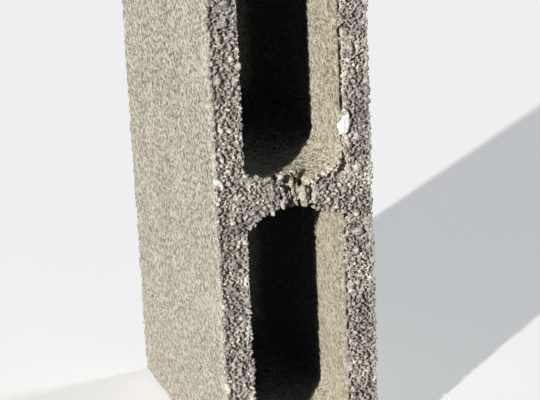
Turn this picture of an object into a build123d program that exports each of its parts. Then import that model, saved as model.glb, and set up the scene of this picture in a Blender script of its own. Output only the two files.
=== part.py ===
from build123d import *
import math
import os

# A hollow concrete block, cast in one piece in a steel mould, in millimetres.
# It stands on one end: its length is along Z, its width along X, and its height as laid
# in a wall along Y. The open bed, which was the top in the mould, is at -Y.

# Driving dimensions
length = 450
width = 125
laid_height = 225

# Walls, each measured at the open bed, where they are thinnest
face_shell = 25
centre_web = 18
end_web = 26

# The two cores of the mould, which leave the cells: how far their ends are arched, the
# radius of their corners, and the slope of their sides in degrees
cell_arch = 15
cell_corner = 10
core_taper = 1.0

# The bar that carried the cores across the mould, which leaves a notch in every web
notch_width = 20
notch_depth = 24
notch_taper = 4.0
notch_corner = 3

# Edges, as the mould leaves them and handling wears them
outer_arris = 2
mouth_arris = 1.5
web_end_round = 4

open_bed = -laid_height / 2
far_bed = laid_height / 2
notch_floor = open_bed + notch_depth
cell_width = width - 2 * face_shell
cell_length = (length - centre_web - 2 * end_web) / 2
cell_centres = [end_web + cell_length / 2, length - end_web - cell_length / 2]
nearly = 0.001


def cell_outline():
    """One core seen from the open bed: straight sides and two arched ends."""
    side = cell_width / 2
    spring = cell_length / 2 - cell_arch
    with BuildSketch() as outline:
        with BuildLine():
            Line((-side, -spring), (-side, spring))
            ThreePointArc((-side, spring), (0, cell_length / 2), (side, spring))
            Line((side, spring), (side, -spring))
            ThreePointArc((side, -spring), (0, -cell_length / 2), (-side, -spring))
        make_face()
        fillet(outline.vertices(), min(cell_corner, 0.4 * cell_width))
    return outline.sketch


def core(centre):
    """The tapered core of one cell, from the open bed to the far bed."""
    bed_plane = Plane(origin=(0, open_bed, centre), x_dir=(1, 0, 0), z_dir=(0, 1, 0))
    return extrude(bed_plane * cell_outline(), amount=laid_height, taper=core_taper)


def core_bar():
    """The bar that carried the cores: a tapered bar in the open bed, from end to end."""
    mouth = notch_width / 2
    floor = mouth - notch_depth * math.tan(math.radians(notch_taper))
    with BuildSketch() as section:
        with BuildLine():
            Polyline(
                (-mouth, open_bed),
                (-floor, notch_floor),
                (floor, notch_floor),
                (mouth, open_bed),
                close=True,
            )
        make_face()
        fillet(section.vertices().group_by(Axis.Y)[-1], min(notch_corner, 0.8 * floor))
    return extrude(section.sketch, amount=length)


def edges_inside(block, low, high):
    """The block's edges that lie inside the box from low to high."""
    found = []
    for edge in block.edges():
        box = edge.bounding_box()
        sides = zip(box.min, box.max, low, high)
        if all(a > c - nearly and b < d + nearly for a, b, c, d in sides):
            found.append(edge)
    return found


def notch_ends(block):
    """The edges where the notch breaks out of a web into a cell."""
    found = []
    for centre in cell_centres:
        for web_face in (centre - cell_length / 2, centre + cell_length / 2):
            low = (-notch_width / 2, open_bed, web_face - cell_arch)
            high = (notch_width / 2, notch_floor, web_face + cell_arch)
            rim = edges_inside(block, low, high)
            found += [edge for edge in rim if edge.bounding_box().size.Z < cell_arch / 2]
    return found


def mouths(block, bed):
    """The edges of the cells and of the notch where they open into one bed."""
    side = width / 2 - outer_arris - nearly * 10
    return edges_inside(block, (-side, bed, -nearly), (side, bed, length + nearly))


def make_block():
    block = Box(width, laid_height, length, align=(Align.CENTER, Align.CENTER, Align.MIN))
    block = fillet(block.edges(), outer_arris)
    for centre in cell_centres:
        block -= core(centre)
    block -= core_bar()
    block = fillet(notch_ends(block), min(web_end_round, centre_web / 4, end_web / 4))
    block = fillet(mouths(block, open_bed), mouth_arris)
    block = fillet(mouths(block, far_bed), mouth_arris)
    return block


os.makedirs("parts", exist_ok=True)
hollow_block = make_block()
export_step(hollow_block, "parts/hollow_block.step")
print("volume in litres", round(hollow_block.volume / 1e6, 3))
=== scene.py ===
import math
import random

import bmesh
import bpy
import numpy as np
from mathutils import Matrix, Vector, kdtree, noise


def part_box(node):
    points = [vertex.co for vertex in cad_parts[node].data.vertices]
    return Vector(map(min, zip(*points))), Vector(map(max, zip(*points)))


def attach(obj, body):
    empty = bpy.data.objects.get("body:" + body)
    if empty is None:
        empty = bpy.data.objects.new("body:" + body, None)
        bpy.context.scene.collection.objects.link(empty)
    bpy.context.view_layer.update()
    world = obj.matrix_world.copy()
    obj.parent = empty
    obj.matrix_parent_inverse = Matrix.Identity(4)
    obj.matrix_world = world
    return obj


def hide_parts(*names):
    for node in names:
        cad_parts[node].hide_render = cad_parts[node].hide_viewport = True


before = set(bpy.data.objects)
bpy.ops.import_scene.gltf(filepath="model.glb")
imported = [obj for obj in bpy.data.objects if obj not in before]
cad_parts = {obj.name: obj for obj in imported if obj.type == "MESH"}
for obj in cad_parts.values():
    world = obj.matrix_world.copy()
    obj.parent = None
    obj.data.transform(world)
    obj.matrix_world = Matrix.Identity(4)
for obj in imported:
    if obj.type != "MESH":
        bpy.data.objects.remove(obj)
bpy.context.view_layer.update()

# The cast body
# Semi-dry concrete, pressed into a steel mould and stripped at once. Its shells and cells
# took the smooth steel, and its edges crumbled. Near the open bed its skin ends ragged, a
# few millimetres under the stones that stand out there.

MM = 0.001
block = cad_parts["hollow_block"]
low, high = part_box("hollow_block")
WIDTH, LAID_HEIGHT, LENGTH = high - low
OPEN_BED, FAR_BED = low.y, high.y
FACE_SHELL = 25 * MM
CELL_SIDE = WIDTH / 2 - FACE_SHELL
NOTCH_SIDE = 10.5 * MM
NOTCH_DEEP = 24 * MM
EVEN_MESH = 2.5 * MM

# The skin's wear, and how wide the waves are in which it comes and goes
SKIN_ROUGHNESS = 0.22 * MM
SKIN_WAVES = 7 * MM
ARRIS_CRUMBLE = 1.7 * MM
ARRIS_REACH = 4.5 * MM
ARRIS_WAVES = 5 * MM
EDGE_CHIPS = 2.4 * MM
CHIP_REACH = 8 * MM
CHIP_WAVES = 4 * MM

# How far the skin gives way to the stones, and where
BED_ZONE = 9 * MM
BED_SUNK = 4.6 * MM
BED_RAGGED = 2.4 * MM
BED_WAVES = 6 * MM
SIDE_SUNK = 1.1 * MM
SIDE_WAVES = 4 * MM
NOTCH_SUNK = 1.2 * MM
FAR_BED_SUNK = 0.6 * MM
WEB_TOP_SUNK = 1.6 * MM
WEB_TOP_FADE = 14 * MM
WEB_TOP_X = (-12 * MM, 40 * MM)
WEB_TOP_Z = (231 * MM, 258 * MM)

# The painted shadow in the cells, and the slant at which the low sun comes in past the left shell
SUN_SLANT = 0.78
CELL_SHADOW_EDGE = 9 * MM
CELL_SHADOW_FADE = 20 * MM
CELL_SHADOW_WAVES = 15 * MM

# The gap along the right shell's inner edge, in millimetres: where it is widest, where there
# are cells beside it, its reach in x, its half width and its depth. Then the lip left before
# it: how thick it is, and how much of it still stands.
GAP_WIDEST = (285, 350)
LOWER_RUN = (30, 204)
UPPER_RUN = (246, 420)
GAP_X = (37, 45)
GAP_HALF_WIDTH = 2.6
GAP_DEEP = 7
LIP_THICK = 1.3
LIP_KEPT = 0.85

# Where the bed is torn, in millimetres: a line from x, z to x, z, half its width, its depth
TEAR_REACH = 30 * MM
TORN_X = (0, 45)
TORN_Z = (212, 300)
TEARS = (
    ((11.5, 217), (13.2, 229), 1.7, 7),
    ((13.2, 229), (21.5, 235.6), 1.3, 6),
    ((21.5, 235.6), (29, 235.4), 1.0, 4),
    ((35, 236.4), (40.2, 236.2), 2.0, 9),
    ((38.2, 238.6), (39.8, 241), 2.4, 9),
    ((39.8, 241), (40.2, 246), 1.6, 9),
    ((38.8, 252), (39.4, 261), 1.0, 4),
    ((39.6, 288), (40.2, 295), 1.4, 5),
    ((5, 231), (7, 238), 1.3, 6),
)


def between(value, limits):
    return limits[0] < value < limits[1]


def in_cell(point):
    """1 on a cell's wall, and 0 on the outside of the block."""
    inside = abs(point.x) < CELL_SIDE + 3 * MM
    between_beds = OPEN_BED + 2 * MM < point.y < FAR_BED - 2 * MM
    off_ends = 15 * MM < point.z < LENGTH - 15 * MM
    return 1.0 if inside and between_beds and off_ends else 0.0


def arris_distance(point):
    """The distance to the nearest outer edge of the block."""
    gaps = sorted((
        WIDTH / 2 - abs(point.x),
        LAID_HEIGHT / 2 - abs(point.y),
        min(point.z, LENGTH - point.z),
    ))
    return max(gaps[0], 0.0) + max(gaps[1], 0.0)


def chipped(point):
    """How deep the far left edge is chipped, which makes the block's outline uneven."""
    if point.x > 0 or point.y < 0:
        return 0.0
    near = max(0.0, 1 - arris_distance(point) / CHIP_REACH)
    return EDGE_CHIPS * near * min(1.0, max(0.0, 0.35 + 2.4 * noise.noise(point / CHIP_WAVES)))


def bed_nearness(y):
    """1 on the open bed, falling to 0 where its texture ends on the sides."""
    return min(1.0, max(0.0, (OPEN_BED + BED_ZONE - y) / BED_ZONE))


def web_top(point):
    """Whether a point is on the rough floor of the upper cell, near the torn corner."""
    return between(point[0], WEB_TOP_X) and between(point[2], WEB_TOP_Z)


def painted_shadow_share(point):
    """How much painted shadow a cell's wall gets: 1 where the low sun never comes, 0 near the far bed.
    """
    sheltered = (point.y - OPEN_BED - SUN_SLANT * (point.x + CELL_SIDE)) / CELL_SHADOW_EDGE
    from_behind = (FAR_BED - point.y) / CELL_SHADOW_FADE - 1
    uneven = 0.4 * noise.noise(point / CELL_SHADOW_WAVES)
    return in_cell(point) * min(1.0, max(0.0, min(sheltered, from_behind) + uneven))


def worn_rim(point):
    """Where the skin is rubbed off beside the open bed: 1 there, ragged, and 0 further away."""
    uneven = 0.5 * noise.noise(point / (4 * MM))
    return min(1.0, max(0.0, 1.6 * bed_nearness(point.y) - 0.3 + uneven))


def line_distance(x, z, start, end):
    """The distance in the bed's plane from a place to a short line."""
    run = (end[0] - start[0], end[1] - start[1])
    along = ((x - start[0]) * run[0] + (z - start[1]) * run[1]) / (run[0] ** 2 + run[1] ** 2)
    along = min(1.0, max(0.0, along))
    return math.hypot(x - start[0] - along * run[0], z - start[1] - along * run[1])


def mouth_line(z):
    """The gap where stones left with the mould's core: its x, and how many of them are gone."""
    x = CELL_SIDE / MM + 2.4 + 1.6 * noise.noise(Vector((0, 0, z / 3)))
    usual = 0.4 if between(z, UPPER_RUN) else 0.25
    if between(z, GAP_WIDEST):
        usual = 0.8
    share = usual + 1.8 * noise.noise(Vector((5, 0, z / 6)))
    beside_cell = between(z, LOWER_RUN) or between(z, UPPER_RUN)
    return x, min(1.0, max(0.0, share)) if beside_cell else 0.0


def torn(x, z):
    """How deep the open bed is torn at a place."""
    x, z = x / MM, z / MM
    depth = 0.0
    if between(x, GAP_X):
        edge, share = mouth_line(z)
        depth = GAP_DEEP * share * max(0.0, 1 - abs(x - edge) / GAP_HALF_WIDTH)
    if between(x, TORN_X) and between(z, TORN_Z):
        for start, end, half_width, deep in TEARS:
            share = 1.5 - line_distance(x, z, start, end) / half_width
            depth = max(depth, deep * min(1.0, max(0.0, share)))
    return depth * MM


def mouth_lip(point):
    """Where the wall's skin still stands like a lip before that gap: 1 there, else 0."""
    on_wall = abs(point.x - CELL_SIDE) < LIP_THICK * MM
    return min(1.0, 2 * mouth_line(point.z / MM)[1]) if on_wall else 0.0


def new_object(name, mesh):
    piece = bpy.data.objects.new(name, mesh)
    bpy.context.scene.collection.objects.link(piece)
    return piece


def finished_mesh(piece):
    """The piece's mesh with its modifiers applied."""
    evaluated = piece.evaluated_get(bpy.context.evaluated_depsgraph_get())
    return bpy.data.meshes.new_from_object(evaluated)


def merged_copy(node):
    """A closed bmesh of a node, with its corners joined."""
    form = bmesh.new()
    form.from_mesh(node.data)
    bmesh.ops.remove_doubles(form, verts=form.verts, dist=0.001 * MM)
    return form


def mesh_of(form, name):
    mesh = bpy.data.meshes.new(name)
    form.to_mesh(mesh)
    form.free()
    return mesh


def remesh(piece, size, adaptivity=0.0):
    even = piece.modifiers.new("even faces", "REMESH")
    even.mode = "VOXEL"
    even.voxel_size = size
    even.adaptivity = adaptivity


def read_vectors(mesh, items, field):
    """One array row for each vertex: its place, or its normal."""
    flat = np.empty(len(mesh.vertices) * 3)
    items.foreach_get(field, flat)
    return flat.reshape(-1, 3)


def write_places(mesh, places):
    """Puts the vertices at their places, none of them outside the block's true size."""
    inside = np.clip(places, np.array(low), np.array(high))
    mesh.vertices.foreach_set("co", inside.ravel())
    mesh.update()


def write_values(mesh, name, values):
    layer = mesh.attributes.new(name, "FLOAT", "POINT")
    layer.data.foreach_set("value", np.array(values, float))


def roughen(mesh):
    """Wears the skin and the arrises inwards, and sinks the beds and the notch."""
    places = read_vectors(mesh, mesh.vertices, "co")
    normals = read_vectors(mesh, mesh.vertex_normals, "vector")
    zones, painted_cell_shadow, rim = [], [], []
    for row, normal in zip(places, normals):
        p = Vector(row)
        near = bed_nearness(p.y) * (1 - LIP_KEPT * mouth_lip(p))
        depth = SKIN_ROUGHNESS * (1 + noise.noise(p / SKIN_WAVES))
        crumble = max(0.0, 1 - arris_distance(p) / ARRIS_REACH)
        depth += ARRIS_CRUMBLE * crumble * max(0.0, 0.6 + noise.noise(p / ARRIS_WAVES))
        depth += chipped(p)
        depth += SIDE_SUNK * math.sqrt(near) * (1 + 0.5 * noise.noise(p / SIDE_WAVES))
        in_notch = abs(p.x) < NOTCH_SIDE and p.y < OPEN_BED + NOTCH_DEEP + 1 * MM
        if in_notch and abs(normal[2]) < 0.5:
            depth += NOTCH_SUNK
        if normal[1] > 0.5 and p.y > FAR_BED - 4 * MM:
            depth += FAR_BED_SUNK
        if web_top(p):
            fade = math.exp((OPEN_BED - p.y) / WEB_TOP_FADE)
            depth += WEB_TOP_SUNK * (1 + noise.noise(p / BED_WAVES)) * fade
        row -= normal * depth
        row[1] += near * (BED_SUNK + BED_RAGGED * noise.noise(p / BED_WAVES))
        row[1] += torn(p.x, p.z) * max(0.0, 1 - (p.y - OPEN_BED) / TEAR_REACH)
        zones.append(in_cell(p))
        painted_cell_shadow.append(painted_shadow_share(p))
        rim.append(worn_rim(p))
    write_places(mesh, places)
    write_values(mesh, "cell", zones)
    write_values(mesh, "painted_cell_shadow", painted_cell_shadow)
    write_values(mesh, "rim", rim)


def shade_smooth(mesh):
    mesh.polygons.foreach_set("use_smooth", np.ones(len(mesh.polygons), bool))


rough = new_object("rough_cast", mesh_of(merged_copy(block), "rough_cast"))
remesh(rough, EVEN_MESH)
body_mesh = finished_mesh(rough)
bpy.data.objects.remove(rough)
roughen(body_mesh)
shade_smooth(body_mesh)
body = new_object("cast_body", body_mesh)


def add_node(tree, kind, values=None, **settings):
    """A node with its settings and the values of its unlinked sockets."""
    made = tree.nodes.new(kind)
    for name, value in settings.items():
        setattr(made, name, value)
    for socket, value in (values or {}).items():
        made.inputs[socket].default_value = value
    return made


def colour_mix(tree, blend="MIX"):
    return add_node(tree, "ShaderNodeMix", data_type="RGBA", blend_type=blend)


def grain_group():
    """Sand and cement seen close: a tone that varies from grain to grain, and a height."""
    tree = bpy.data.node_groups.new("sand grain", "ShaderNodeTree")
    tree.interface.new_socket("Vector", in_out="INPUT", socket_type="NodeSocketVector")
    size = tree.interface.new_socket(
        "Grains per metre", in_out="INPUT", socket_type="NodeSocketFloat")
    size.default_value = 700
    tree.interface.new_socket("Tone", in_out="OUTPUT", socket_type="NodeSocketFloat")
    tree.interface.new_socket("Height", in_out="OUTPUT", socket_type="NodeSocketFloat")
    start = add_node(tree, "NodeGroupInput")
    end = add_node(tree, "NodeGroupOutput")
    link = tree.links.new

    cells = add_node(tree, "ShaderNodeTexVoronoi", feature="F1")
    link(start.outputs["Vector"], cells.inputs["Vector"])
    link(start.outputs["Grains per metre"], cells.inputs["Scale"])
    finer = add_node(tree, "ShaderNodeMath", {1: 0.55}, operation="MULTIPLY")
    link(start.outputs["Grains per metre"], finer.inputs[0])
    cloud = add_node(tree, "ShaderNodeTexNoise", {"Detail": 5.0, "Roughness": 0.65})
    link(start.outputs["Vector"], cloud.inputs["Vector"])
    link(finer.outputs[0], cloud.inputs["Scale"])

    each = add_node(tree, "ShaderNodeSeparateColor")
    link(cells.outputs["Color"], each.inputs["Color"])
    tone = add_node(tree, "ShaderNodeMath", {1: 0.45, 2: 0.0}, operation="MULTIPLY_ADD")
    link(each.outputs["Red"], tone.inputs[0])
    spread = add_node(
        tree, "ShaderNodeMapRange", {"From Min": 0.3, "From Max": 0.7, "To Max": 0.55})
    link(cloud.outputs["Fac"], spread.inputs["Value"])
    link(spread.outputs["Result"], tone.inputs[2])
    link(tone.outputs[0], end.inputs["Tone"])

    dome = add_node(tree, "ShaderNodeMath", {0: 1.0}, operation="SUBTRACT")
    link(cells.outputs["Distance"], dome.inputs[1])
    height = add_node(tree, "ShaderNodeMath", {1: 0.6}, operation="MULTIPLY_ADD")
    link(dome.outputs[0], height.inputs[0])
    link(cloud.outputs["Fac"], height.inputs[2])
    link(height.outputs[0], end.inputs["Height"])
    return tree


sand_grain = grain_group()

PASTE = (
    (0.0, (0.02, 0.018, 0.014, 1)),
    (0.34, (0.27, 0.247, 0.202, 1)),
    (0.5, (0.55, 0.513, 0.432, 1)),
    (0.66, (0.75, 0.71, 0.615, 1)),
    (1.0, (1.0, 0.99, 0.93, 1)),
)
DUST = (0.64, 0.61, 0.53, 1)
CELL_TAN = (0.89, 0.87, 0.785, 1)
# A bluish dark multiplied into the cells' walls: painted shadow where the low sun never comes
CELL_SHADOW_PAINT = (0.3, 0.39, 0.55, 1)
RUBBED = (0.7, 0.69, 0.68, 1)
# The pinholes' colour is multiplied by this: painted shade in the pits
PIT_SHADE_PAINT = (0.35, 0.33, 0.3, 1)
LIME_WHITE = (0.68, 0.71, 0.71, 1)
LIME_STAINS = (
    ((-62.5, -101, 339), (9, 9, 15)),
    ((-62.5, -93, 326), (7, 12, 6)),
    ((-62.5, -88, 140), (9, 14, 9)),
    ((-62.5, -62, 130), (7, 16, 5)),
)


def colour_ramp(tree, stops):
    """A colour ramp through the stops, each a position and its colour."""
    ramp = add_node(tree, "ShaderNodeValToRGB")
    band = ramp.color_ramp.elements
    band[0].position, band[0].color = stops[0]
    band[1].position, band[1].color = stops[-1]
    for position, colour in stops[1:-1]:
        band.new(position).color = colour
    return ramp


def stain_mask(tree, where, ragged, centre, reach):
    """A soft ragged patch, 1 at its centre and 0 past its reach, both in millimetres."""
    link = tree.links.new
    place = add_node(tree, "ShaderNodeMapping", {
        "Location": [-c / r for c, r in zip(centre, reach)], "Scale": [1 / (r * MM) for r in reach]})
    link(where, place.inputs["Vector"])
    distance = add_node(tree, "ShaderNodeVectorMath", operation="LENGTH")
    link(place.outputs["Vector"], distance.inputs[0])
    torn_edge = add_node(tree, "ShaderNodeMath", {1: 1.6}, operation="MULTIPLY_ADD")
    link(ragged, torn_edge.inputs[0])
    link(distance.outputs["Value"], torn_edge.inputs[2])
    soft = add_node(tree, "ShaderNodeMapRange", {
        "From Min": 0.9, "From Max": 2.0, "To Min": 0.5, "To Max": 0.0})
    link(torn_edge.outputs[0], soft.inputs["Value"])
    return soft.outputs["Result"]


def cast_concrete():
    """The moulded skin: fine, sandy, warm grey, with pits painted darker as shade, more tan in the
    cells, and painted shadow in the cells where the low sun never comes.
    """
    material = bpy.data.materials.new("cast_concrete")
    material.use_nodes = True
    tree = material.node_tree
    link = tree.links.new
    shader = tree.nodes["Principled BSDF"]
    shader.inputs["Roughness"].default_value = 0.92
    shader.inputs["Specular IOR Level"].default_value = 0.25
    where = add_node(tree, "ShaderNodeTexCoord").outputs["Object"]
    drawn = add_node(tree, "ShaderNodeMapping", {"Scale": (1.0, 0.8, 1.0)})
    link(where, drawn.inputs["Vector"])

    coarse = add_node(tree, "ShaderNodeGroup", node_tree=sand_grain)
    coarse.inputs["Grains per metre"].default_value = 560
    link(drawn.outputs["Vector"], coarse.inputs["Vector"])
    fine = add_node(tree, "ShaderNodeGroup", node_tree=sand_grain)
    fine.inputs["Grains per metre"].default_value = 1150
    link(drawn.outputs["Vector"], fine.inputs["Vector"])
    clouds = add_node(tree, "ShaderNodeTexNoise", {"Scale": 26.0, "Detail": 4.0, "Roughness": 0.6})
    link(where, clouds.inputs["Vector"])
    share = add_node(tree, "ShaderNodeMath", {1: 0.3}, operation="MULTIPLY")
    link(fine.outputs["Tone"], share.inputs[0])
    tone = add_node(tree, "ShaderNodeMath", {1: 0.7}, operation="MULTIPLY_ADD")
    link(coarse.outputs["Tone"], tone.inputs[0])
    link(share.outputs[0], tone.inputs[2])
    paste = colour_ramp(tree, PASTE)
    link(tone.outputs[0], paste.inputs["Fac"])

    blotch = add_node(tree, "ShaderNodeMapRange", {
        "From Min": 0.35, "From Max": 0.65, "To Min": 0.92, "To Max": 1.05})
    link(clouds.outputs["Fac"], blotch.inputs["Value"])
    shade = colour_mix(tree, "MULTIPLY")
    shade.inputs["Factor"].default_value = 1.0
    link(paste.outputs["Color"], shade.inputs["A"])
    link(blotch.outputs["Result"], shade.inputs["B"])

    zone = add_node(tree, "ShaderNodeAttribute", attribute_name="cell")
    height = add_node(tree, "ShaderNodeSeparateXYZ")
    link(where, height.inputs["Vector"])
    settled = add_node(tree, "ShaderNodeMapRange", {
        "From Min": 0.05, "From Max": 0.3, "To Min": 0.2, "To Max": 0.0})
    link(height.outputs["Z"], settled.inputs["Value"])
    dusty = add_node(tree, "ShaderNodeMath", {1: 0.04}, operation="MULTIPLY_ADD")
    link(zone.outputs["Fac"], dusty.inputs[0])
    link(settled.outputs["Result"], dusty.inputs[2])
    dust = colour_mix(tree)
    dust.inputs["B"].default_value = DUST
    link(dusty.outputs[0], dust.inputs["Factor"])
    link(shade.outputs["Result"], dust.inputs["A"])
    rim = add_node(tree, "ShaderNodeAttribute", attribute_name="rim")
    rubbed = colour_mix(tree, "MULTIPLY")
    rubbed.inputs["B"].default_value = RUBBED
    link(rim.outputs["Fac"], rubbed.inputs["Factor"])
    link(dust.outputs["Result"], rubbed.inputs["A"])
    tan = colour_mix(tree, "MULTIPLY")
    tan.inputs["B"].default_value = CELL_TAN
    link(zone.outputs["Fac"], tan.inputs["Factor"])
    link(rubbed.outputs["Result"], tan.inputs["A"])
    # Painted shadow: the cells' walls where the low sun never comes are multiplied darker and bluer
    cell_shadow_share = add_node(tree, "ShaderNodeAttribute", attribute_name="painted_cell_shadow")
    painted_cell_shadow = colour_mix(tree, "MULTIPLY")
    painted_cell_shadow.inputs["B"].default_value = CELL_SHADOW_PAINT
    link(cell_shadow_share.outputs["Fac"], painted_cell_shadow.inputs["Factor"])
    link(tan.outputs["Result"], painted_cell_shadow.inputs["A"])

    ragged = add_node(tree, "ShaderNodeTexNoise", {"Scale": 160.0, "Detail": 4.0, "Roughness": 0.65})
    link(where, ragged.inputs["Vector"])
    latest = painted_cell_shadow.outputs["Result"]
    for centre, reach in LIME_STAINS:
        lime = colour_mix(tree)
        lime.inputs["B"].default_value = LIME_WHITE
        link(stain_mask(tree, where, ragged.outputs["Fac"], centre, reach), lime.inputs["Factor"])
        link(latest, lime.inputs["A"])
        latest = lime.outputs["Result"]

    # Pinholes: the bump sinks them, and their colour is multiplied darker as painted shade
    holes = add_node(tree, "ShaderNodeTexVoronoi", {"Scale": 95.0}, feature="F1")
    link(where, holes.inputs["Vector"])
    each = add_node(tree, "ShaderNodeSeparateColor")
    link(holes.outputs["Color"], each.inputs["Color"])
    size = add_node(tree, "ShaderNodeMapRange", {"From Min": 0.45, "To Max": 0.17})
    link(each.outputs["Red"], size.inputs["Value"])
    over = add_node(tree, "ShaderNodeMath", operation="SUBTRACT")
    link(size.outputs["Result"], over.inputs[0])
    link(holes.outputs["Distance"], over.inputs[1])
    hole = add_node(tree, "ShaderNodeMapRange", {"From Max": 0.04})
    link(over.outputs[0], hole.inputs["Value"])
    pits_painted_shade = colour_mix(tree, "MULTIPLY")
    pits_painted_shade.inputs["B"].default_value = PIT_SHADE_PAINT
    link(hole.outputs["Result"], pits_painted_shade.inputs["Factor"])
    link(latest, pits_painted_shade.inputs["A"])
    link(pits_painted_shade.outputs["Result"], shader.inputs["Base Color"])

    sunk = add_node(tree, "ShaderNodeMath", {1: 1.5}, operation="MULTIPLY")
    link(hole.outputs["Result"], sunk.inputs[0])
    level = add_node(tree, "ShaderNodeMath", operation="SUBTRACT")
    link(coarse.outputs["Height"], level.inputs[0])
    link(sunk.outputs[0], level.inputs[1])
    swell = add_node(tree, "ShaderNodeBump", {"Strength": 1.0, "Distance": 1.2 * MM})
    link(level.outputs[0], swell.inputs["Height"])
    bump = add_node(tree, "ShaderNodeBump", {"Strength": 1.0, "Distance": 0.4 * MM})
    link(fine.outputs["Height"], bump.inputs["Height"])
    link(swell.outputs["Normal"], bump.inputs["Normal"])
    link(bump.outputs["Normal"], shader.inputs["Normal"])
    return material


body_mesh.materials.clear()
body_mesh.materials.append(cast_concrete())
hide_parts("hollow_block")
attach(body, "root")

# The open bed
# The top of the mould, where the shoe pressed the mix: 2 to 10 mm gravel stands out of the
# cement with deep gaps between the stones, round the edges and into the notch too. Stones
# and cement are one crust here, fused where they touch.

STONE_KINDS = 9
STONE_FLATS = 8

# The layers of stones: rows of how many tries, the smallest and the largest radius in
# millimetres, then how deep a stone may sink and how close two may come
PROUD_SIZES = ((60, 3.2, 4.8), (400, 2.2, 3.2), (2600, 1.4, 2.0), (28000, 0.8, 1.3))
PROUD_SINK = (-0.1 * MM, 1.0 * MM)
SUNK_SIZES = ((2500, 1.4, 2.0), (14000, 0.9, 1.4))
SUNK_SINK = (1.6 * MM, 2.7 * MM)
CLOSENESS = 0.86
SEARCH_STEP = 3 * MM
BURIED_SHARE = 0.7
HOLLOWS = 1.9 * MM
HOLLOW_WAVES = 9 * MM
CORNER_SUNK = 1.6 * MM
STONE_FADE = 2.5 * MM
WEB_STONE_FADE = 12 * MM
NOTCH_STONES = 0.7
DEEPEST_STONE = 40 * MM

PLATE_DEEP = 6 * MM
PLATE_SUNK = 3.5 * MM
PLATE_INSET = 1.1 * MM
PLATE_MESH = 1.5 * MM
CRUST_MESH = 0.5 * MM
CRUST_EASE = 0.14
GRIT_RELIEF = 0.5 * MM
GRIT_SIZE = 1.3 * MM


def stone_form(seed):
    """One broken, worn stone of unit size: a ball with flats and dents, 80 faces."""
    dice = random.Random(seed)
    form = bmesh.new()
    bmesh.ops.create_icosphere(form, subdivisions=2, radius=1)
    flats = []
    for _ in range(STONE_FLATS):
        side = Vector((dice.gauss(0, 1), dice.gauss(0, 1), dice.gauss(0, 1))).normalized()
        flats.append((side, dice.uniform(0.62, 0.86)))
    for vertex in form.verts:
        p = vertex.co
        p *= 1 + 0.3 * noise.noise(p * 1.9 + Vector((seed * 7.1, 0, 0)))
        for side, reach in flats:
            over = p.dot(side) - reach
            if over > 0:
                p -= side * over * 0.92
    widths = (1.06, dice.uniform(0.84, 1.0), dice.uniform(0.7, 0.92))
    bmesh.ops.scale(form, vec=widths, verts=form.verts)
    return mesh_of(form, f"stone_{seed}")


def broken_corner(point):
    """Whether a point is past the torn line, where the web's corner broke off tan and rough."""
    x, z = point[0] / MM, point[2] / MM
    line = min(235.5, 229 + 0.79 * (x - 13))
    return -12 < x < 33 and line + 1 < z < 262


def surface_samples(mesh, weight, count, seed):
    """Points and normals spread over a mesh, more of them where weight is higher."""
    mesh.calc_loop_triangles()
    corners = read_vectors(mesh, mesh.vertices, "co")
    faces = np.empty(len(mesh.loop_triangles) * 3, int)
    mesh.loop_triangles.foreach_get("vertices", faces)
    a, b, c = (corners[faces.reshape(-1, 3)[:, k]] for k in range(3))
    cross = np.cross(b - a, c - a)
    area = np.linalg.norm(cross, axis=1)
    area[area == 0] = 1e-12
    normal = cross / area[:, None]
    dice = np.random.default_rng(seed)
    tries = 8 * count
    chosen = dice.choice(len(area), size=tries, p=area / area.sum())
    u, v = dice.random(tries), dice.random(tries)
    flip = u + v > 1
    u[flip], v[flip] = 1 - u[flip], 1 - v[flip]
    points = a[chosen] + u[:, None] * (b - a)[chosen] + v[:, None] * (c - a)[chosen]
    kept = dice.random(tries) < weight(points)
    return points[kept][:count], normal[chosen][kept][:count]


def settle(samples, radii, closeness, taken):
    """Keeps the samples that find room beside the stones already taken, large ones first."""
    kept = []
    for (point, normal), radius in zip(samples, radii):
        key = tuple(np.floor(point / SEARCH_STEP).astype(int))
        neighbours = taken.get(key, ())
        if any(math.dist(point, q) < closeness * (radius + r) for q, r in neighbours):
            continue
        kept.append((point, normal, radius))
        reach = int(2 * radius / SEARCH_STEP) + 1
        span = range(-reach, reach + 1)
        for i in span:
            for j in span:
                for k in span:
                    cell = (key[0] + i, key[1] + j, key[2] + k)
                    taken.setdefault(cell, []).append((tuple(point), radius))
    return kept


def near_open_bed(points):
    """Full on the bed and in the notch, thinning out a few millimetres down the sides."""
    depth = points[:, 1] - OPEN_BED
    in_notch = (np.abs(points[:, 0]) < NOTCH_SIDE) & (depth < NOTCH_DEEP + 1 * MM)
    on_web = np.array([web_top(point) for point in points])
    weight = 0.8 * np.exp(-depth / STONE_FADE)
    weight[on_web] = np.exp(-depth[on_web] / WEB_STONE_FADE)
    weight[in_notch] = NOTCH_STONES
    weight[depth < 0.7 * MM] = 1.0
    weight[depth > DEEPEST_STONE] = 0.0
    return weight


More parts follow.
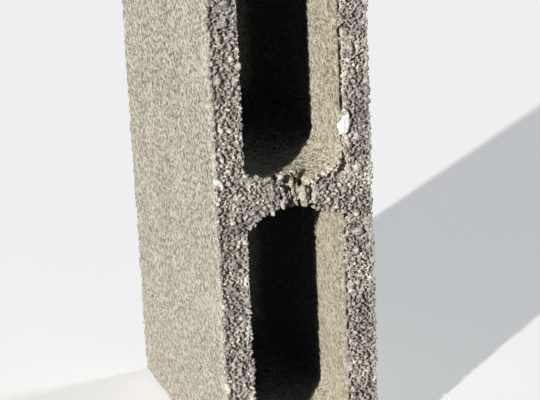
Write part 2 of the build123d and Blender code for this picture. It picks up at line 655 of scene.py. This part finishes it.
def laid_stones(sizes, sink, seed, kept_free):
    """Stones of one layer: their centres and radii, large ones laid first."""
    taken = {}
    free_points, free_radii = kept_free
    settle([(point, None) for point in free_points], free_radii, 0.0, taken)
    dice = np.random.default_rng(seed)
    centres, radii = [], []
    for tries, smallest, largest in sizes:
        points, normals = surface_samples(block.data, near_open_bed, tries, seed + tries)
        tried = np.sort(dice.uniform(smallest, largest, len(points)))[::-1] * MM
        for point, normal, radius in settle(list(zip(points, normals)), tried, CLOSENESS, taken):
            p = Vector(point)
            hollow = HOLLOWS * max(0.0, 0.3 + noise.noise(p / HOLLOW_WAVES))
            deep = BURIED_SHARE * radius + dice.uniform(*sink) + hollow
            if broken_corner(point):
                deep += CORNER_SUNK * (1 if normal[1] < -0.5 else -0.4)
            centres.append(point - normal * deep)
            radii.append(radius)
    return np.array(centres), np.array(radii)


def stone_points(centres, radii, seed):
    """A mesh of bare points, one for each stone, that carries its size, turn and kind."""
    dice = np.random.default_rng(seed)
    mesh = bpy.data.meshes.new("stone_places")
    count = len(centres)
    mesh.vertices.add(count)
    mesh.vertices.foreach_set("co", centres.ravel())
    for label, kind, values, field in (
        ("size", "FLOAT", radii, "value"),
        ("turn", "FLOAT_VECTOR", dice.uniform(0, 2 * math.pi, count * 3), "vector"),
        ("kind", "INT", dice.integers(0, STONE_KINDS, count), "value"),
    ):
        layer = mesh.attributes.new(label, kind, "POINT")
        layer.data.foreach_set(field, values)
    return mesh


def laying_tree(forms, plate):
    """Geometry nodes that put a real stone on each point, and the cement plate under them."""
    tree = bpy.data.node_groups.new("lay stones", "GeometryNodeTree")
    tree.interface.new_socket("Geometry", in_out="INPUT", socket_type="NodeSocketGeometry")
    tree.interface.new_socket("Geometry", in_out="OUTPUT", socket_type="NodeSocketGeometry")
    link = tree.links.new
    named = "GeometryNodeInputNamedAttribute"
    start = add_node(tree, "NodeGroupInput")
    end = add_node(tree, "NodeGroupOutput")
    heap = add_node(tree, "GeometryNodeCollectionInfo", {
        "Collection": forms, "Separate Children": True, "Reset Children": True})
    size = add_node(tree, named, {"Name": "size"}, data_type="FLOAT")
    turn = add_node(tree, named, {"Name": "turn"}, data_type="FLOAT_VECTOR")
    kind = add_node(tree, named, {"Name": "kind"}, data_type="INT")
    rotation = add_node(tree, "FunctionNodeEulerToRotation")
    points = add_node(tree, "GeometryNodeMeshToPoints")
    lay = add_node(tree, "GeometryNodeInstanceOnPoints", {"Pick Instance": True})
    real = add_node(tree, "GeometryNodeRealizeInstances")
    cement = add_node(tree, "GeometryNodeObjectInfo", {"Object": plate})
    both = add_node(tree, "GeometryNodeJoinGeometry")
    link(start.outputs[0], points.inputs["Mesh"])
    link(points.outputs[0], lay.inputs["Points"])
    link(heap.outputs[0], lay.inputs["Instance"])
    link(kind.outputs["Attribute"], lay.inputs["Instance Index"])
    link(turn.outputs["Attribute"], rotation.inputs[0])
    link(rotation.outputs[0], lay.inputs["Rotation"])
    link(size.outputs["Attribute"], lay.inputs["Scale"])
    link(lay.outputs[0], real.inputs[0])
    link(real.outputs[0], both.inputs[0])
    link(cement.outputs["Geometry"], both.inputs[0])
    link(both.outputs[0], end.inputs[0])
    return tree


def stone_heap():
    """The stone shapes that the laying picks from."""
    heap = bpy.data.collections.new("stone_forms")
    for seed in range(STONE_KINDS):
        heap.objects.link(bpy.data.objects.new(f"stone_form_{seed}", stone_form(seed)))
    return heap


def bed_plate():
    """The cement that holds the stones: the block's outline, set back from its faces."""
    form = merged_copy(block)
    everything = form.verts[:] + form.edges[:] + form.faces[:]
    cut = bmesh.ops.bisect_plane(
        form, geom=everything, plane_co=(0, OPEN_BED + PLATE_DEEP, 0), plane_no=(0, 1, 0),
        clear_outer=True)
    rim = [item for item in cut["geom_cut"] if isinstance(item, bmesh.types.BMEdge)]
    bmesh.ops.holes_fill(form, edges=rim)
    bmesh.ops.triangulate(form, faces=form.faces)
    form.normal_update()
    for vertex in form.verts:
        inset = vertex.normal * PLATE_INSET
        vertex.co += Vector((-inset.x, PLATE_SUNK, -inset.z))
    coarse = new_object("coarse_plate", mesh_of(form, "coarse_plate"))
    remesh(coarse, PLATE_MESH)
    mesh = finished_mesh(coarse)
    bpy.data.objects.remove(coarse)
    places = read_vectors(mesh, mesh.vertices, "co")
    for row in places:
        row[1] += torn(row[0], row[2])
    write_places(mesh, places)
    return mesh


def grit_texture():
    grit = bpy.data.textures.new("grit", "VORONOI")
    grit.noise_scale = GRIT_SIZE
    grit.noise_intensity = 1.0
    grit.distance_metric = "DISTANCE"
    return grit


def fused_crust(centres, radii):
    """Plate and stones grown into one mesh, with sand grains stuck all over it."""
    plate = bpy.data.objects.new("bed_plate", bed_plate())
    spots = new_object("crust", stone_points(centres, radii, 31))
    spots.modifiers.new("lay", "NODES").node_group = laying_tree(stone_heap(), plate)
    remesh(spots, CRUST_MESH, CRUST_EASE)
    relief = spots.modifiers.new("grit", "DISPLACE")
    relief.texture = grit_texture()
    relief.texture_coords = "LOCAL"
    relief.strength = -GRIT_RELIEF
    relief.mid_level = 0.4
    mesh = finished_mesh(spots)
    bpy.data.objects.remove(spots)
    return mesh


def slice_of(mesh, bottom, top, name):
    """The part of a closed mesh between two heights, closed where it is cut."""
    form = bmesh.new()
    form.from_mesh(mesh)
    for height, way in ((bottom, -1), (top, 1)):
        if not 1 * MM < height < LENGTH - 1 * MM:
            continue
        everything = form.verts[:] + form.edges[:] + form.faces[:]
        cut = bmesh.ops.bisect_plane(
            form, geom=everything, plane_co=(0, 0, height), plane_no=(0, 0, way),
            clear_outer=True)
        rim = [item for item in cut["geom_cut"] if isinstance(item, bmesh.types.BMEdge)]
        bmesh.ops.triangle_fill(form, edges=rim, use_beauty=False, normal=(0, 0, way))
    return mesh_of(form, name)


def coated_stone():
    """Gravel coated with cement: greys that lean to pink, green or beige, stone by stone, with painted
    shade in the gaps between grains.
    """
    material = bpy.data.materials.new("coated_stone")
    material.use_nodes = True
    tree = material.node_tree
    link = tree.links.new
    shader = tree.nodes["Principled BSDF"]
    shader.inputs["Roughness"].default_value = 0.88
    shader.inputs["Specular IOR Level"].default_value = 0.25
    where = add_node(tree, "ShaderNodeTexCoord").outputs["Object"]
    tint = add_node(tree, "ShaderNodeAttribute", attribute_name="tint")
    stops = (
        (0.0, (0.23, 0.206, 0.188, 1)),
        (0.15, (0.41, 0.35, 0.345, 1)),
        (0.3, (0.41, 0.42, 0.355, 1)),
        (0.45, (0.54, 0.486, 0.45, 1)),
        (0.6, (0.41, 0.397, 0.391, 1)),
        (0.74, (0.60, 0.552, 0.462, 1)),
        (0.86, (0.80, 0.766, 0.69, 1)),
        (0.93, (0.60, 0.552, 0.44, 1)),
        (1.0, (1.0, 1.0, 0.98, 1)),
    )
    ramp = colour_ramp(tree, stops)
    link(tint.outputs["Fac"], ramp.inputs["Fac"])
    lumps = add_node(tree, "ShaderNodeGroup", node_tree=sand_grain)
    lumps.inputs["Grains per metre"].default_value = 540
    link(where, lumps.inputs["Vector"])
    grain = add_node(tree, "ShaderNodeGroup", node_tree=sand_grain)
    grain.inputs["Grains per metre"].default_value = 1100
    link(where, grain.inputs["Vector"])
    speckle = add_node(tree, "ShaderNodeMapRange", {"To Min": 0.7, "To Max": 1.25})
    link(grain.outputs["Tone"], speckle.inputs["Value"])
    # Painted shade: darker in the gaps between grains and a little lighter on their tops, except on
    # the white chips
    gap_shade_depth = add_node(tree, "ShaderNodeMapRange", {
        "From Min": 0.95, "From Max": 0.99, "To Min": 0.6, "To Max": 1.05})
    link(tint.outputs["Fac"], gap_shade_depth.inputs["Value"])
    gap = add_node(tree, "ShaderNodeMapRange", {
        "From Min": 0.66, "From Max": 0.9, "To Max": 1.12})
    link(lumps.outputs["Height"], gap.inputs["Value"])
    link(gap_shade_depth.outputs["Result"], gap.inputs["To Min"])
    speckle_and_gap_shade = add_node(tree, "ShaderNodeMath", operation="MULTIPLY")
    link(speckle.outputs["Result"], speckle_and_gap_shade.inputs[0])
    link(gap.outputs["Result"], speckle_and_gap_shade.inputs[1])
    colour = colour_mix(tree, "MULTIPLY")
    colour.inputs["Factor"].default_value = 1.0
    link(ramp.outputs["Color"], colour.inputs["A"])
    link(speckle_and_gap_shade.outputs[0], colour.inputs["B"])
    link(colour.outputs["Result"], shader.inputs["Base Color"])
    swell = add_node(tree, "ShaderNodeBump", {"Strength": 1.0, "Distance": 0.55 * MM})
    link(lumps.outputs["Height"], swell.inputs["Height"])
    bump = add_node(tree, "ShaderNodeBump", {"Strength": 0.8, "Distance": 0.3 * MM})
    link(grain.outputs["Height"], bump.inputs["Height"])
    link(swell.outputs["Normal"], bump.inputs["Normal"])
    link(bump.outputs["Normal"], shader.inputs["Normal"])
    return material


# Places on the stones' colour ramp, where random stones keep to the part up to the first of
# them, and the width of the patches in which their tints change
PLAIN_TINTS = 0.86
SKIN_TINT = 0.915
TAN = 0.93
WHITE = 1.0
TINT_PATCHES = 22 * MM

# Single stones seen in the picture, in millimetres: x, depth under the bed, z, radius, tint
NOTCH_LUMPS = (
    (-2.0, 10, 238, 3.2, TAN), (-0.6, 9, 234, 2.8, TAN), (2.4, 12, 239, 3.4, TAN),
    (0.2, 9, 230, 2.8, 0.7), (0.8, 9.5, 226.5, 2.8, 0.75), (1.2, 9, 223, 3.0, 0.6),
    (1.4, 9, 219.5, 2.6, 0.75), (2.8, 8, 216.6, 1.5, 0.86), (0.5, 13, 229, 3.4, 0.5),
    (1.2, 13, 224, 3.6, 0.5), (1.5, 13, 219, 3.4, 0.5),
    (7.0, 4.2, 228.4, 3.4, TAN), (7.3, 4.2, 224, 4.1, TAN), (7.7, 4.6, 219.8, 4.0, TAN),
    (8.4, 5.5, 216.2, 3.2, TAN), (8.6, 9, 226, 4.0, TAN), (9, 9, 220, 4.0, TAN),
    (10.2, 4.6, 226.6, 2.8, TAN), (10.6, 4.8, 222.2, 2.8, TAN), (10.8, 5.4, 218.4, 2.6, TAN),
    (-9.6, 2.6, 230.6, 2.4, 0.6), (-8.6, 2.8, 227.2, 2.3, 0.75), (-7.4, 3, 223.6, 2.5, 0.5),
    (-6.6, 3.6, 220.2, 2.3, 0.7), (-9.4, 3.4, 220.6, 2.6, 0.45), (-9.2, 3, 217, 2.2, 0.8),
)
WEB_LUMPS = (
    (-10.4, 3, 241.4, 2.4, 0.86), (-11.5, 3.5, 238, 2.8, 0.6), (-17, 4, 238.6, 2.3, 0.5),
    (-19.8, 3, 240.4, 2.5, 0.7), (-22.5, 3.5, 239.6, 2.8, 0.4), (-26, 3.5, 241.2, 2.6, 0.6),
    (-29, 3, 243.4, 2.8, 0.4), (-18.5, 3, 219, 3.0, 0.5), (-18.1, 2.6, 216, 2.5, 0.7),
    (-17.8, 2.4, 213, 2.1, 0.86), (15, 3, 213, 2.5, 0.3), (18.5, 3, 211.4, 2.6, 0.6),
    (22, 3, 210.2, 2.6, 0.3), (26, 3, 208.8, 2.5, 0.74), (30, 3, 207.8, 2.3, 0.45),
)
CHIPS = (
    (42.2, 2.4, 282.2, 3.8, WHITE), (41.4, 2.6, 278.2, 4.4, WHITE), (41.4, 3.2, 273.6, 6.2, WHITE),
    (41.0, 3.2, 269.8, 5.4, WHITE), (-60.0, 2.2, 245.6, 3.3, WHITE), (-58.6, 2.2, 243.0, 4.0, WHITE),
    (-56.6, 2.0, 241.4, 3.0, WHITE), (-59.6, 2.2, 260.4, 2.8, 0.86), (-58.9, 1.5, 231.5, 2.0, 0.97),
    (-60.4, 1.6, 228.4, 1.9, 0.97), (-60.8, 1.7, 214.7, 1.8, 0.97), (-49.2, 1.9, 211.7, 2.7, 0.86),
)
LARGE_STONES = (
    (-49.1, 3.8, 363.4, 5.4, 0.45), (-46.9, 3.8, 377.8, 4.6, 0.6), (-38.9, 2.6, 330.1, 3.2, 0.86),
    (-44.1, 2.4, 336.2, 3.0, 0.86), (-52.9, 3.2, 352.3, 4.0, 0.45), (-55.0, 3.4, 322.0, 4.2, 0.4),
    (50.5, 2.8, 238.9, 4.0, 0.78), (49.0, 3.4, 187.5, 4.6, 0.72), (47.8, 3.4, 172.4, 4.6, 0.82),
    (46.0, 3.0, 214.0, 3.6, 0.86), (52.0, 3.2, 262.0, 4.2, 0.7),
)

# Single stones less deep than this, in millimetres, keep the bed over them free too
SHALLOW = 8

# The grout left in the notch: its reach in x, depth and z, and the step from lump to lump
NOTCH_FILL = ((-8, 8), (12, 23), (215, 236))
FILL_STEP = 4.2

# The short cracks: how many, their slant and its spread in degrees, their steps to each side
# of the middle, and their half widths in millimetres
CREVICES = 110
CREVICE_SLANT = (42, 22)
CREVICE_STEPS = (2, 5)
CREVICE_WIDTHS = (0.5, 1.0)

# The room that stones keep from the gap in the right shell, at the least and by the share
# that is gone, from its lip, at a depth, and from the edge of a tear, in millimetres
GAP_ROOM = (0.2, 1.2)
LIP_ROOM = 1.6
LIP_DEEP = 3
TEAR_ROOM = 0.7


def single_stones():
    """The lumps, chips and the grout left in the notch: rows of x, depth, z, radius, tint."""
    dice = random.Random(17)
    rows = list(NOTCH_LUMPS + WEB_LUMPS + CHIPS + LARGE_STONES)
    counts = [int((end - start) / FILL_STEP) + 1 for start, end in NOTCH_FILL]
    for i in range(counts[0]):
        for j in range(counts[1]):
            for k in range(counts[2]):
                steps = zip(NOTCH_FILL, (i, j, k))
                place = [span[0] + FILL_STEP * n + dice.uniform(-1, 1) for span, n in steps]
                rows.append((*place, dice.uniform(2.4, 3.4), dice.uniform(0.1, 0.7)))
    return np.array(rows)


def crevices():
    """Short slanting cracks all over the bed: their points and half widths."""
    dice = random.Random(23)
    points, widths = [], []
    for _ in range(CREVICES):
        middle = Vector((dice.uniform(-61, 61), 0, dice.uniform(3, 447)))
        slant = math.radians(dice.gauss(*CREVICE_SLANT))
        run = Vector((math.cos(slant), 0, math.sin(slant)))
        for step in range(-int(dice.uniform(*CREVICE_STEPS)), int(dice.uniform(*CREVICE_STEPS))):
            drift = Vector((dice.uniform(-0.4, 0.4), 0, dice.uniform(-0.4, 0.4)))
            points.append((middle + run * step + drift) * MM + Vector((0, OPEN_BED, 0)))
            widths.append(dice.uniform(*CREVICE_WIDTHS) * MM)
    return points, widths


def mouth_gaps():
    """Gaps along the right shell's inner edge, where stones came away with the mould's core."""
    points, widths = [], []
    for z in range(int(LENGTH / MM)):
        x, share = mouth_line(z)
        if share > 0.2:
            points.append(Vector((x * MM, OPEN_BED, z * MM)))
            widths.append((GAP_ROOM[0] + GAP_ROOM[1] * share) * MM)
            points.append(Vector((CELL_SIDE, OPEN_BED + LIP_DEEP * MM, z * MM)))
            widths.append(LIP_ROOM * MM)
    return points, widths


def tear_lines():
    """The torn corner's cracks, as points and half widths."""
    points, widths = [], []
    for start, end, half_width, _ in TEARS:
        for step in range(11):
            x, z = (a + (b - a) * step / 10 for a, b in zip(start, end))
            points.append(Vector((x * MM, OPEN_BED, z * MM)))
            widths.append((half_width + TEAR_ROOM) * MM)
    return points, widths


def room_kept_free(single_centres, single_radii, shallow):
    """The points that random stones keep away from, and how far, in metres."""
    on_bed = single_centres[shallow] * (1, 0, 1) + (0, OPEN_BED, 0)
    points, widths = [], []
    for more_points, more_widths in (
        crevices(), mouth_gaps(), tear_lines(),
        (single_centres, single_radii), (on_bed, single_radii[shallow]),
    ):
        points += [np.array(point) for point in more_points]
        widths += list(more_widths)
    return points, widths


def random_tints(centres, seed):
    """A tint for each random stone, in patches, and tan in the broken corner."""
    shares = np.random.default_rng(seed).random(len(centres))
    tints = []
    for centre, share in zip(centres, shares):
        patch = 0.5 * noise.noise(Vector(centre) / TINT_PATCHES)
        tint = PLAIN_TINTS * min(1.0, max(0.0, share + patch))
        tints.append(TAN - 0.05 * share if broken_corner(centre) else tint)
    return tints


single = single_stones()
single_centres = single[:, :3] * MM + (0, OPEN_BED, 0)
single_radii = single[:, 3] * MM
kept_free = room_kept_free(single_centres, single_radii, single[:, 1] < SHALLOW)
proud = laid_stones(PROUD_SIZES, PROUD_SINK, 11, kept_free)
sunk = laid_stones(SUNK_SIZES, SUNK_SINK, 12, kept_free)
random_centres = np.concatenate([proud[0], sunk[0]])
centres = np.concatenate([random_centres, single_centres])
radii = np.concatenate([proud[1], sunk[1], single_radii])
tints = np.array(random_tints(random_centres, 13) + list(single[:, 4]))
crust = fused_crust(centres, radii)

nearest_stone = kdtree.KDTree(len(centres))
for index, centre in enumerate(centres):
    nearest_stone.insert(centre, index)
nearest_stone.balance()


def tint_at(point):
    """The tint of the nearest stone, and the skin's own colour down the block's sides."""
    deep = point[1] - OPEN_BED
    skin_starts = (5 + 2 * noise.noise(Vector(point) / (3 * MM))) * MM
    on_side = abs(point[0]) > NOTCH_SIDE + 1 * MM and deep > skin_starts
    tint = tints[nearest_stone.find(point)[1]]
    return SKIN_TINT if on_side and tint <= PLAIN_TINTS else tint


# The slices of the crust, each with the share of the length at which it ends
SLICES = (("foot", 0.19), ("lower_cell", 0.42), ("web", 0.58), ("upper_cell", 0.81), ("head", 1.0))
gravel = coated_stone()
bottom = 0.0
for place, share in SLICES:
    top = LENGTH * share
    mesh = slice_of(crust, bottom, top, f"open_bed_{place}")
    bottom = top
    places = read_vectors(mesh, mesh.vertices, "co")
    write_places(mesh, places)
    write_values(mesh, "tint", [tint_at(p) for p in places])
    shade_smooth(mesh)
    mesh.materials.clear()
    mesh.materials.append(gravel)
    crust_part = new_object(f"open_bed_{place}", mesh)
    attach(crust_part, "root")
bpy.data.meshes.remove(crust)

# The floor, the light and the camera
# A pale floor under the block, a key light from the left and low like the evening sun, a
# weak fill from the right and behind, and a long lens that looks down on the open bed.

FLOOR_SEEN = 0.8
FLOOR_LIT = 0.07
FLOOR_GLOW = 0.35
WORLD_SEEN = 0.9
WORLD_LIT = 0.024
WARM_WHITE = (1.0, 0.97, 0.92)
COOL_WHITE = (0.85, 0.92, 1.0)


def floor_material():
    """Pale to the camera, darker to the block, so that little light comes up from it."""
    material = bpy.data.materials.new("pale_floor")
    material.use_nodes = True
    tree = material.node_tree
    shader = tree.nodes["Principled BSDF"]
    shader.inputs["Roughness"].default_value = 0.9
    shader.inputs["Emission Color"].default_value = (1, 1, 1, 1)
    path = add_node(tree, "ShaderNodeLightPath")
    tone = add_node(tree, "ShaderNodeMapRange", {"To Min": FLOOR_LIT, "To Max": FLOOR_SEEN})
    tree.links.new(path.outputs["Is Camera Ray"], tone.inputs["Value"])
    tree.links.new(tone.outputs["Result"], shader.inputs["Base Color"])
    glow = add_node(tree, "ShaderNodeMath", {1: FLOOR_GLOW}, operation="MULTIPLY")
    tree.links.new(path.outputs["Is Camera Ray"], glow.inputs[0])
    tree.links.new(glow.outputs[0], shader.inputs["Emission Strength"])
    return material


sheet = bmesh.new()
bmesh.ops.create_grid(sheet, x_segments=1, y_segments=1, size=6)
floor_mesh = mesh_of(sheet, "floor")
floor_mesh.materials.append(floor_material())
floor = new_object("floor", floor_mesh)


def distant_lamp(name, from_left, height, energy, spread, colour):
    """A far lamp, by its bearing left of the open bed's outward direction and its height."""
    lamp = bpy.data.lights.new(name, "SUN")
    lamp.energy = energy
    lamp.angle = math.radians(spread)
    lamp.color = colour
    holder = new_object(name, lamp)
    bearing, rise = math.radians(from_left), math.radians(height)
    towards = Vector((
        -math.sin(bearing) * math.cos(rise),
        -math.cos(bearing) * math.cos(rise),
        math.sin(rise),
    ))
    holder.rotation_mode = "QUATERNION"
    holder.rotation_quaternion = towards.to_track_quat("Z", "Y")


distant_lamp("key", from_left=52, height=17.5, energy=4.5, spread=1.0, colour=WARM_WHITE)
distant_lamp("right fill", from_left=-93, height=25, energy=1.5, spread=10, colour=COOL_WHITE)
distant_lamp("back fill", from_left=180, height=1, energy=1.6, spread=2, colour=COOL_WHITE)

world = bpy.data.worlds.new("studio")
world.use_nodes = True
sky = world.node_tree.nodes["Background"]
sky.inputs["Color"].default_value = (*COOL_WHITE, 1)
path = add_node(world.node_tree, "ShaderNodeLightPath")
level = add_node(
    world.node_tree, "ShaderNodeMapRange", {"To Min": WORLD_LIT, "To Max": WORLD_SEEN})
world.node_tree.links.new(path.outputs["Is Camera Ray"], level.inputs["Value"])
world.node_tree.links.new(level.outputs["Result"], sky.inputs["Strength"])
bpy.context.scene.world = world

CAMERA_PLACE = Vector((-0.5061, -1.5133, 0.7928))
CAMERA_YAW = math.radians(19.12)
CAMERA_PITCH = math.radians(20.94)
CAMERA_ROLL = math.radians(-2.56)
FOCAL_PIXELS = 2160
IMAGE_WIDTH = 540
lens = bpy.data.cameras.new("camera")
lens.sensor_width = 36
lens.lens = FOCAL_PIXELS * lens.sensor_width / IMAGE_WIDTH
camera = new_object("camera", lens)
forward = Vector((
    math.sin(CAMERA_YAW) * math.cos(CAMERA_PITCH),
    math.cos(CAMERA_YAW) * math.cos(CAMERA_PITCH),
    -math.sin(CAMERA_PITCH),
))
upright = forward.to_track_quat("-Z", "Y").to_matrix().to_4x4()
camera.matrix_world = Matrix.Translation(CAMERA_PLACE) @ upright @ Matrix.Rotation(CAMERA_ROLL, 4, "Z")
bpy.context.scene.camera = camera
bpy.context.scene.view_settings.view_transform = "Standard"
